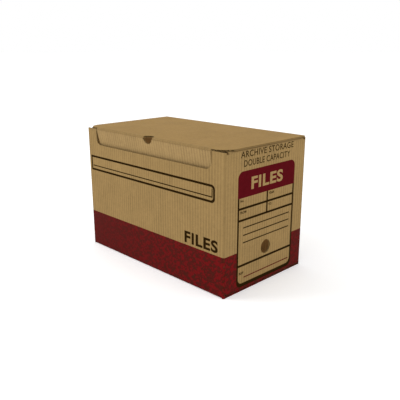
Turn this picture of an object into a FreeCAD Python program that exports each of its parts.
import FreeCAD, Part
import math
import os

import Sketcher

# Archival box: one die-cut blank of corrugated board, folded and glued into a tube with a
# four-flap bottom, a top-opening lid with a tuck flap, and two dust flaps under the lid.
# Frame: millimetres, +X along the box towards the label end, -Y towards the front, +Z up,
# origin on the floor under the middle of the box.
# Every flat panel is made of its three real plies: outer liner, fluting medium, inner liner.
# Every crease is a roll of crushed board of the full thickness.

Vector = FreeCAD.Vector

SIZES = [
    # the box
    ("outer_length", 385.0),
    ("outer_width", 220.0),
    ("outer_height", 255.0),
    # the board
    ("board", 3.0),
    ("liner", 0.3),
    ("medium", 0.2),
    ("flute_pitch", 6.5),
    ("ply_gap", 0.02),
    ("fold_inside", 0.5),
    # clearances
    ("swing_gap", 0.3),
    ("slit", 1.0),
    ("side_gap", 2.0),
    ("edge_gap", 0.5),
    ("glue_film", 0.05),
    # the recess in the top edge of the front panel
    ("recess_inset", 30.0),
    ("recess_depth", 35.0),
    ("recess_corner", 14.0),
    # the lid and its tuck flap
    ("lid_corner", 28.0),
    ("tuck_depth", 45.0),
    ("tuck_corner", 12.0),
    ("tuck_taper", 4.0),
    ("tuck_lean", 9.0),
    ("thumb_radius", 13.0),
    # the dust flaps
    ("dust_length", 98.0),
    ("dust_front_gap", 10.0),
    ("dust_back_gap", 8.0),
    ("dust_front_taper", 10.0),
    ("dust_back_slope", 0.37),
    ("dust_corner", 12.0),
    # the label end
    ("finger_radius", 13.0),
    ("finger_height", 67.0),
    # the bottom flaps and the glued joint
    ("end_flap_length", 110.0),
    ("glue_width", 35.0),
]

OUTPUT_FOLDER = "parts"

doc = FreeCAD.newDocument("archival_box")
sheet = doc.addObject("Spreadsheet::Sheet", "Sizes")
for row, (alias, value) in enumerate(SIZES, start=1):
    sheet.set(f"A{row}", alias)
    sheet.set(f"B{row}", str(value))
    sheet.setAlias(f"B{row}", alias)
doc.recompute()

kept_parts = []


def size(alias):
    """Read one size from the sheet, in millimetres or degrees."""
    return float(getattr(sheet, alias))


# Places that several pieces share, as expressions on the sheet.
# outside radius of every crease
FOLD = "(Sizes.board + Sizes.fold_inside)"
HALF_LENGTH = "Sizes.outer_length / 2"
HALF_WIDTH = "Sizes.outer_width / 2"
# the walls and the dust flaps stop here, just under the lid
RIM = "(Sizes.outer_height - Sizes.board - Sizes.swing_gap)"
# the walls are flat between these lines, and roll over outside them
FLAT_LENGTH = f"({HALF_LENGTH} - {FOLD})"
FLAT_WIDTH = f"({HALF_WIDTH} - {FOLD})"
# the end flaps of the bottom lie on the front and back flaps
SECOND_LAYER = "(2 * Sizes.board)"
END_FLAP_HALF_WIDTH = f"({HALF_WIDTH} - 2 * Sizes.board - Sizes.slit)"
TUCK_HALF = f"({HALF_LENGTH} - Sizes.recess_inset - Sizes.side_gap)"
# the glued joint closes the corner between the back and the rear end
GLUE_FLAT_WIDTH = f"({HALF_WIDTH} - Sizes.board - Sizes.glue_film - {FOLD})"
TUCK_AXIS_Y = f"-({FLAT_WIDTH})"
TUCK_AXIS_Z = f"(Sizes.outer_height - {FOLD})"


def axes_rotation(x_axis, y_axis):
    """Rotation that takes a panel's own X and Y to these directions of the box."""
    z_axis = x_axis.cross(y_axis)
    return FreeCAD.Rotation(x_axis, y_axis, z_axis, "XYZ")


def place(item, base, rotation):
    """Turn an object once, and tie the three coordinates of its place to the sheet."""
    item.Placement = FreeCAD.Placement(Vector(0, 0, 0), rotation)
    for axis, expression in zip("xyz", base):
        item.setExpression(f"Placement.Base.{axis}", expression)


def origin_plane(body, role):
    for feature in body.Origin.OriginFeatures:
        if feature.Role == role:
            return feature
    raise RuntimeError(f"{body.Label} has no {role}")


def pin_point(sketch, geometry, end, x_expression, y_expression):
    """Hold one end of a line at a place that comes from the sheet."""
    point = sketch.Geometry[geometry].StartPoint
    for kind, value, expression in (
        ("DistanceX", point.x, x_expression),
        ("DistanceY", point.y, y_expression),
    ):
        index = sketch.addConstraint(Sketcher.Constraint(kind, -1, 1, geometry, end, value))
        sketch.setExpression(f"Constraints[{index}]", expression)


def outline_sketch(body, corners, lift):
    """Closed outline through corners given as pairs of expressions, lifted along the panel's Z."""
    sketch = body.newObject("Sketcher::SketchObject", "outline")
    sketch.AttachmentSupport = [(origin_plane(body, "XY_Plane"), "")]
    sketch.MapMode = "FlatFace"
    sketch.setExpression("AttachmentOffset.Base.z", lift)
    # the lines start on a rough ring in the right order, and the constraints move them
    count = len(corners)
    ring = [
        Vector(math.cos(2 * math.pi * i / count), math.sin(2 * math.pi * i / count), 0)
        for i in range(count)
    ]
    for i in range(count):
        sketch.addGeometry(Part.LineSegment(ring[i], ring[(i + 1) % count]), False)
    for i in range(count):
        sketch.addConstraint(Sketcher.Constraint("Coincident", i, 2, (i + 1) % count, 1))
    for i, (x_expression, y_expression) in enumerate(corners):
        pin_point(sketch, i, 1, x_expression, y_expression)
    return sketch


def corner_edges(feature, points):
    """Names of the edges that stand on the given outline points."""
    names = []
    for point in points:
        for number, edge in enumerate(feature.Shape.Edges, start=1):
            ends = [vertex.Point for vertex in edge.Vertexes]
            if len(ends) != 2:
                continue
            on_corner = all(math.hypot(end.x - point.x, end.y - point.y) < 1e-4 for end in ends)
            if on_corner and abs(ends[0].z - ends[1].z) > 1e-4:
                names.append(f"Edge{number}")
                break
        else:
            raise RuntimeError(f"{feature.Label} has no corner at {point}")
    return names


def liner_body(name, corners, rounds, holes, lift):
    """One liner sheet: a padded outline with rounded corners and punched round holes."""
    body = doc.addObject("PartDesign::Body", name)
    body.Label = name
    sketch = outline_sketch(body, corners, lift)
    pad = body.newObject("PartDesign::Pad", "sheet")
    pad.Profile = sketch
    pad.setExpression("Length", "Sizes.liner")
    sketch.Visibility = False
    doc.recompute()
    outline_points = [sketch.Geometry[i].StartPoint for i in range(len(corners))]
    latest = pad
    for radius, indices in rounds:
        edges = corner_edges(latest, [outline_points[i] for i in indices])
        fillet = body.newObject("PartDesign::Fillet", "rounded_corners")
        fillet.Base = (latest, edges)
        fillet.setExpression("Radius", radius)
        latest = fillet
        doc.recompute()
    for x_expression, y_expression, radius in holes:
        before = body.Shape.Volume
        circle = body.newObject("Sketcher::SketchObject", "punch")
        circle.AttachmentSupport = [(origin_plane(body, "XY_Plane"), "")]
        circle.MapMode = "FlatFace"
        circle.addGeometry(Part.Circle(Vector(0, 0, 0), Vector(0, 0, 1), 5.0), False)
        for kind, expression in (("DistanceX", x_expression), ("DistanceY", y_expression)):
            index = circle.addConstraint(Sketcher.Constraint(kind, -1, 1, 0, 3, 1.0))
            circle.setExpression(f"Constraints[{index}]", expression)
        index = circle.addConstraint(Sketcher.Constraint("Radius", 0, 5.0))
        circle.setExpression(f"Constraints[{index}]", radius)
        pocket = body.newObject("PartDesign::Pocket", "punched_hole")
        pocket.Profile = circle
        pocket.Type = "ThroughAll"
        pocket.Midplane = True
        circle.Visibility = False
        doc.recompute()
        if body.Shape.Volume >= before - 1.0:
            raise RuntimeError(f"{name}: the punched hole cut nothing")
    return body


def flute_wave(half_waves):
    """Cross-section of the fluting medium: alternating tangent arcs, centred on the panel."""
    core = size("board") - 2 * size("liner") - 2 * size("ply_gap")
    amplitude = (core - size("medium")) / 2
    quarter = size("flute_pitch") / 4
    radius = (quarter ** 2 + amplitude ** 2) / (2 * amplitude)
    half_angle = math.atan2(quarter, radius - amplitude)
    start = -half_waves * quarter

    def side(offset):
        edges = []
        for i in range(half_waves):
            sign = 1 if i % 2 == 0 else -1
            centre = Vector(start + (2 * i + 1) * quarter, sign * (amplitude - radius), 0)
            arc_radius = radius + sign * offset
            points = [
                centre + Vector(math.sin(angle), sign * math.cos(angle), 0) * arc_radius
                for angle in (-half_angle, 0, half_angle)
            ]
            edges.append(Part.Arc(*points).toShape())
        return edges

    upper = side(size("medium") / 2)
    lower = side(-size("medium") / 2)
    closing = [
        Part.makeLine(upper[-1].Vertexes[-1].Point, lower[-1].Vertexes[-1].Point),
        Part.makeLine(upper[0].Vertexes[0].Point, lower[0].Vertexes[0].Point),
    ]
    wire = Part.Wire(Part.__sortEdges__(upper + lower + closing))
    return Part.Face(wire)


def fluting(name, inner_body, flutes_along_y):
    """The fluting medium between two liners, cut to the inner liner's own outline."""
    own = inner_body.Placement.inverse()
    sheet_shape = inner_body.Shape.transformed(own.toMatrix())
    box = sheet_shape.BoundBox
    top_face = max(
        (face for face in sheet_shape.Faces if abs(face.normalAt(0, 0).z) > 0.99),
        key=lambda face: face.CenterOfMass.z,
    )
    core = size("board") - 2 * size("liner")
    prism = top_face.extrude(Vector(0, 0, core))
    across = box.XLength if flutes_along_y else box.YLength
    along = box.YLength if flutes_along_y else box.XLength
    half_waves = 2 * math.ceil(across / size("flute_pitch")) + 4
    wave = flute_wave(half_waves).extrude(Vector(0, 0, along + 2))
    # the section lies across the flutes, with its height along the panel's Z
    middle = Vector(box.Center.x, box.Center.y, size("board") / 2)
    if flutes_along_y:
        turn = FreeCAD.Rotation(Vector(1, 0, 0), Vector(0, 0, 1), Vector(0, -1, 0), "XYZ")
        shift = middle + Vector(0, along / 2 + 1, 0)
    else:
        turn = FreeCAD.Rotation(Vector(0, 1, 0), Vector(0, 0, 1), Vector(1, 0, 0), "XYZ")
        shift = middle - Vector(along / 2 + 1, 0, 0)
    wave = wave.transformed(FreeCAD.Placement(shift, turn).toMatrix())
    item = doc.addObject("Part::Feature", name)
    item.Label = name
    item.Shape = prism.common(wave)
    item.Placement = inner_body.Placement
    return item


def panel(name, corners, base, rotation, rounds=(), holes=(), flutes_along_y=True):
    """A flat piece of the board, as three plies; its own Z points out of the box."""
    inner = liner_body(f"{name}_inner_liner", corners, rounds, holes, "0")
    outer = liner_body(f"{name}_outer_liner", corners, rounds, holes, "Sizes.board - Sizes.liner")
    for body in (inner, outer):
        place(body, base, rotation)
    doc.recompute()
    core = fluting(f"{name}_fluting", inner, flutes_along_y)
    kept_parts.extend([outer, core, inner])


def rectangle(x_low, x_high, y_low, y_high):
    return [(x_low, y_low), (x_high, y_low), (x_high, y_high), (x_low, y_high)]


def crease(name, span, base, rotation, sweep="90"):
    """A roll of crushed board: the part of a ring between two panels.

    Its own Z is the crease line, and the roll starts on its own X and turns towards its Y.
    """
    rolls = []
    for role, radius, turn in (
        ("outside", FOLD, sweep),
        ("inside", f"{FOLD} - Sizes.board", "360"),
    ):
        cylinder = doc.addObject("Part::Cylinder", f"{name}_{role}")
        cylinder.setExpression("Radius", radius)
        cylinder.setExpression("Height", span)
        cylinder.setExpression("Angle", turn)
        rolls.append(cylinder)
    ring = doc.addObject("Part::Cut", name)
    ring.Label = name
    ring.Base, ring.Tool = rolls
    place(ring, base, rotation)
    return ring


X = Vector(1, 0, 0)
Y = Vector(0, 1, 0)
Z = Vector(0, 0, 1)


def walls():
    panel(
        "front_panel",
        [
            (f"-{FLAT_LENGTH}", FOLD),
            (FLAT_LENGTH, FOLD),
            (FLAT_LENGTH, RIM),
            (f"{HALF_LENGTH} - Sizes.recess_inset", RIM),
            (f"{HALF_LENGTH} - Sizes.recess_inset", "Sizes.outer_height - Sizes.recess_depth"),
            (f"-({HALF_LENGTH} - Sizes.recess_inset)", "Sizes.outer_height - Sizes.recess_depth"),
            (f"-({HALF_LENGTH} - Sizes.recess_inset)", RIM),
            (f"-{FLAT_LENGTH}", RIM),
        ],
        ("0", f"-({HALF_WIDTH} - Sizes.board)", "0"),
        axes_rotation(X, Z),
        rounds=[("Sizes.recess_corner", (4, 5))],
    )
    panel(
        "back_panel",
        rectangle(f"-{FLAT_LENGTH}", HALF_LENGTH,
                  FOLD, f"Sizes.outer_height - {FOLD}"),
        ("0", f"{HALF_WIDTH} - Sizes.board", "0"),
        axes_rotation(-X, Z),
    )
    end_low = f"Sizes.board + {FOLD}"
    end_high = f"{RIM} - {FOLD}"
    panel(
        "label_end_panel",
        rectangle(f"-{FLAT_WIDTH}", FLAT_WIDTH, end_low, end_high),
        (f"{HALF_LENGTH} - Sizes.board", "0", "0"),
        axes_rotation(Y, Z),
        holes=[("0", "Sizes.finger_height", "Sizes.finger_radius")],
    )
    panel(
        "rear_end_panel",
        rectangle(f"-{GLUE_FLAT_WIDTH}", FLAT_WIDTH, end_low, end_high),
        (f"-({HALF_LENGTH} - Sizes.board)", "0", "0"),
        axes_rotation(-Y, Z),
    )
    panel(
        "glue_flap",
        rectangle(f"{FLAT_LENGTH} - Sizes.glue_width", FLAT_LENGTH,
                  f"{SECOND_LAYER} + Sizes.slit", f"{RIM} - Sizes.board - 2 * Sizes.slit"),
        ("0", f"{HALF_WIDTH} - 2 * Sizes.board - Sizes.glue_film", "0"),
        axes_rotation(-X, Z),
    )


def upright_creases():
    """The four corner folds; the fourth carries the glue flap."""
    corners = (
        ("front_label_corner_fold", f"{FLAT_LENGTH}", f"-{FLAT_WIDTH}", axes_rotation(-Y, X)),
        ("back_label_corner_fold", f"{FLAT_LENGTH}", f"{FLAT_WIDTH}", axes_rotation(X, Y)),
        ("front_rear_corner_fold", f"-{FLAT_LENGTH}", f"-{FLAT_WIDTH}", axes_rotation(-X, -Y)),
    )
    for name, x_base, y_base, rotation in corners:
        kept_parts.append(crease(name, RIM, (x_base, y_base, "0"), rotation))
    glue_low = f"({SECOND_LAYER} + Sizes.slit)"
    glue_span = f"{RIM} - Sizes.board - 2 * Sizes.slit - {glue_low}"
    kept_parts.append(
        crease("glue_flap_fold", glue_span,
               (f"-{FLAT_LENGTH}", GLUE_FLAT_WIDTH, glue_low), axes_rotation(Y, -X))
    )


def bottom():
    """Front and back flaps meet in the middle; the end flaps lie on top of them."""
    for side, sign, y_sign in (("front", 1, "-"), ("back", -1, "")):
        panel(
            f"bottom_{side}_flap",
            rectangle(f"-({HALF_LENGTH} - Sizes.edge_gap)", f"{HALF_LENGTH} - Sizes.edge_gap",
                      "0", f"{FLAT_WIDTH} - Sizes.edge_gap"),
            ("0", f"{y_sign}{FLAT_WIDTH}", "Sizes.board"),
            axes_rotation(-X * sign, Y * sign),
        )
        kept_parts.append(
            crease(f"bottom_{side}_fold", f"2 * {FLAT_LENGTH}",
                   (f"-{FLAT_LENGTH}", f"{y_sign}{FLAT_WIDTH}", FOLD),
                   axes_rotation(-Y * sign, -Z) if sign > 0 else axes_rotation(-Z, Y))
        )
    for end, sign, x_sign in (("label", 1, ""), ("rear", -1, "-")):
        panel(
            f"bottom_{end}_flap",
            rectangle(f"-{END_FLAP_HALF_WIDTH}", END_FLAP_HALF_WIDTH, "0", "Sizes.end_flap_length"),
            (f"{x_sign}{FLAT_LENGTH}", "0", SECOND_LAYER),
            axes_rotation(-Y * sign, -X * sign),
        )
        kept_parts.append(
            crease(f"bottom_{end}_fold", f"2 * {END_FLAP_HALF_WIDTH}",
                   (f"{x_sign}{FLAT_LENGTH}", f"-{END_FLAP_HALF_WIDTH}",
                    f"Sizes.board + {FOLD}"),
                   axes_rotation(X, -Z) if sign > 0 else axes_rotation(-Z, -X))
        )


def lid():
    shoulder = f"({TUCK_HALF} + Sizes.slit)"
    lid_back = f"{FLAT_WIDTH} - Sizes.swing_gap"
    corner_round = "min(Sizes.lid_corner; Sizes.recess_inset - 2 * Sizes.slit)"
    panel(
        "lid_panel",
        [
            (f"-{HALF_LENGTH}", f"-{HALF_WIDTH}"),
            (f"-{shoulder}", f"-{HALF_WIDTH}"),
            (f"-{shoulder}", f"-{FLAT_WIDTH}"),
            (shoulder, f"-{FLAT_WIDTH}"),
            (shoulder, f"-{HALF_WIDTH}"),
            (HALF_LENGTH, f"-{HALF_WIDTH}"),
            (HALF_LENGTH, lid_back),
            (f"-{HALF_LENGTH}", lid_back),
        ],
        ("0", "0", "Sizes.outer_height - Sizes.board"),
        axes_rotation(X, Y),
        rounds=[(corner_round, (0, 5))],
        holes=[("0", f"-{HALF_WIDTH}", "Sizes.thumb_radius")],
    )
    kept_parts.append(
        crease("lid_fold", f"2 * {FLAT_LENGTH}",
               (f"-{FLAT_LENGTH}", FLAT_WIDTH, f"Sizes.outer_height - {FOLD}"),
               axes_rotation(Y, Z))
    )


def tuck_flap():
    """Leans in behind the front panel, from a fold that the thumb hole cuts in two."""
    lean = math.radians(size("tuck_lean"))
    upward = Vector(0, -math.sin(lean), math.cos(lean))
    reach = f"({FOLD} - Sizes.board)"
    panel(
        "tuck_flap",
        [
            (f"-({TUCK_HALF} - Sizes.tuck_taper)", "-Sizes.tuck_depth"),
            (f"{TUCK_HALF} - Sizes.tuck_taper", "-Sizes.tuck_depth"),
            (TUCK_HALF, "-Sizes.swing_gap"),
            (f"-{TUCK_HALF}", "-Sizes.swing_gap"),
        ],
        (
            "0",
            f"{TUCK_AXIS_Y} - {reach} * cos(Sizes.tuck_lean * 1deg)",
            f"{TUCK_AXIS_Z} - {reach} * sin(Sizes.tuck_lean * 1deg)",
        ),
        axes_rotation(X, upward),
        rounds=[("Sizes.tuck_corner", (0, 1))],
        holes=[("0", FOLD, "Sizes.thumb_radius")],
    )
    roll = crease("tuck_fold_roll", f"2 * {TUCK_HALF}",
                  (f"-{TUCK_HALF}", TUCK_AXIS_Y, TUCK_AXIS_Z),
                  axes_rotation(Z, -Y), "90 + Sizes.tuck_lean")
    thumb = doc.addObject("Part::Box", "thumb_notch")
    thumb.setExpression("Length", "2 * Sizes.thumb_radius")
    thumb.setExpression("Width", f"4 * {FOLD}")
    thumb.setExpression("Height", f"4 * {FOLD}")
    place(thumb, ("-Sizes.thumb_radius", f"{TUCK_AXIS_Y} - 2 * {FOLD}",
                  f"{TUCK_AXIS_Z} - 2 * {FOLD}"), FreeCAD.Rotation())
    fold = doc.addObject("Part::Cut", "tuck_fold")
    fold.Label = "tuck_fold"
    fold.Base = roll
    fold.Tool = thumb
    kept_parts.append(fold)


def dust_flaps():
    for end, sign, x_sign in (("label", 1, ""), ("rear", -1, "-")):
        root_front = f"-({HALF_WIDTH} - Sizes.dust_front_gap)"
        root_back = f"({HALF_WIDTH} - Sizes.dust_back_gap)"
        tip_front = f"{root_front} + Sizes.dust_front_taper"
        # the back edge clears the rising lid, which lifts faster than the flap further from its fold
        tip_back = f"{root_back} - Sizes.dust_back_slope * Sizes.dust_length"
        corners = [
            (root_front, "Sizes.swing_gap"),
            (root_back, "Sizes.swing_gap"),
            (tip_back, "Sizes.dust_length"),
            (tip_front, "Sizes.dust_length"),
        ]
        if sign < 0:
            corners = [(f"-({x_value})", y_value) for x_value, y_value in corners][::-1]
        panel(
            f"{end}_dust_flap",
            corners,
            (f"{x_sign}{FLAT_LENGTH}", "0", f"{RIM} - Sizes.board"),
            axes_rotation(Y * sign, -X * sign),
            rounds=[("Sizes.dust_corner", (2, 3) if sign > 0 else (0, 1))],
        )
        kept_parts.append(
            crease(f"{end}_dust_fold", f"{root_back} - ({root_front})",
                   (f"{x_sign}{FLAT_LENGTH}", root_front, f"{RIM} - {FOLD}"),
                   axes_rotation(Z, X) if sign > 0 else axes_rotation(-X, Z))
        )


walls()
upright_creases()
bottom()
lid()
tuck_flap()
dust_flaps()
doc.recompute()

for item in doc.Objects:
    if "Invalid" in item.State or "Error" in item.State:
        raise RuntimeError(f"{item.Label} did not compute: {item.State}")
for item in kept_parts:
    if item.Shape.isNull() or not item.Shape.isValid():
        raise RuntimeError(f"{item.Label} has no valid shape")

os.makedirs(OUTPUT_FOLDER, exist_ok=True)
for item in kept_parts:
    item.Shape.exportStep(os.path.join(OUTPUT_FOLDER, f"{item.Label}.step"))
    print(f"{item.Label}: {item.Shape.Volume:.1f} mm3, {len(item.Shape.Solids)} solid(s)")
print(f"{len(kept_parts)} parts written")
